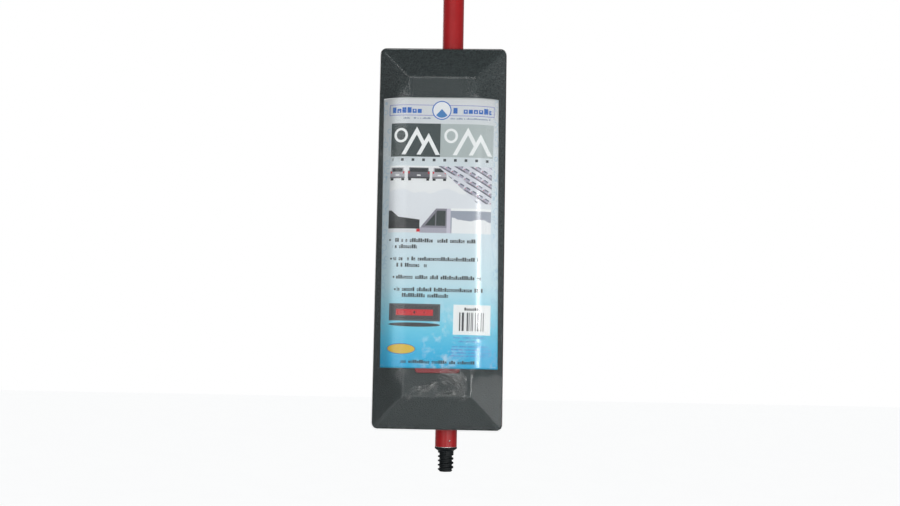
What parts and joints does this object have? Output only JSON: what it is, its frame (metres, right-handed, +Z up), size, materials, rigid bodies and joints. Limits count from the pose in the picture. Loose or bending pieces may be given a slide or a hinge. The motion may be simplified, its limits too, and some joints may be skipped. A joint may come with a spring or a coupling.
{
  "type": "snow broom",
  "caption": "Foam-head snow broom as sold: bevelled foam pad with red clamping plates, screw-in steel handle laid behind it, printed card and clear shrink wrap around them.",
  "frame": {"origin": "centre of the hang hole at the top of the handle, on the handle's axis", "axes": "+Z up along the handle's axis, face of the foam head towards -Y, +X to the right of someone facing that face"},
  "size_m": [0.1554, 0.0673, 1.2],
  "materials": {
    "foam": "matte",
    "red_plastic": "satin",
    "zinc_steel": "satin",
    "bare_steel": "satin",
    "red_skin": "satin",
    "black_plastic": "satin",
    "printed_card": "satin",
    "clear_film": "gloss"
  },
  "bodies": {
    "handle": {"handle_tube": "bare_steel", "handle_sleeve": "red_skin", "threaded_tip": "black_plastic", "hanger_cap": "black_plastic"},
    "head": {"foam_head": "foam", "socket_plate": "red_plastic", "back_plate": "red_plastic", "plate_screws": "zinc_steel", "plate_nuts": "zinc_steel"},
    "front_wrap": {"front_film": "clear_film", "label_card": "printed_card"},
    "back_wrap": {"back_film": "clear_film"}
  },
  "joints": [
    {"name": "head_slide", "type": "slide", "parent": "handle", "child": "head", "axis": [0, 0, 1], "range_m": [-0.52, 0.6]},
    {"name": "front_wrap_lift", "type": "slide", "parent": "head", "child": "front_wrap", "axis": [0, -1, 0], "range_m": [0, 0.15]},
    {"name": "back_wrap_lift", "type": "slide", "parent": "head", "child": "back_wrap", "axis": [0, 1, 0], "range_m": [0, 0.15]}
  ]
}
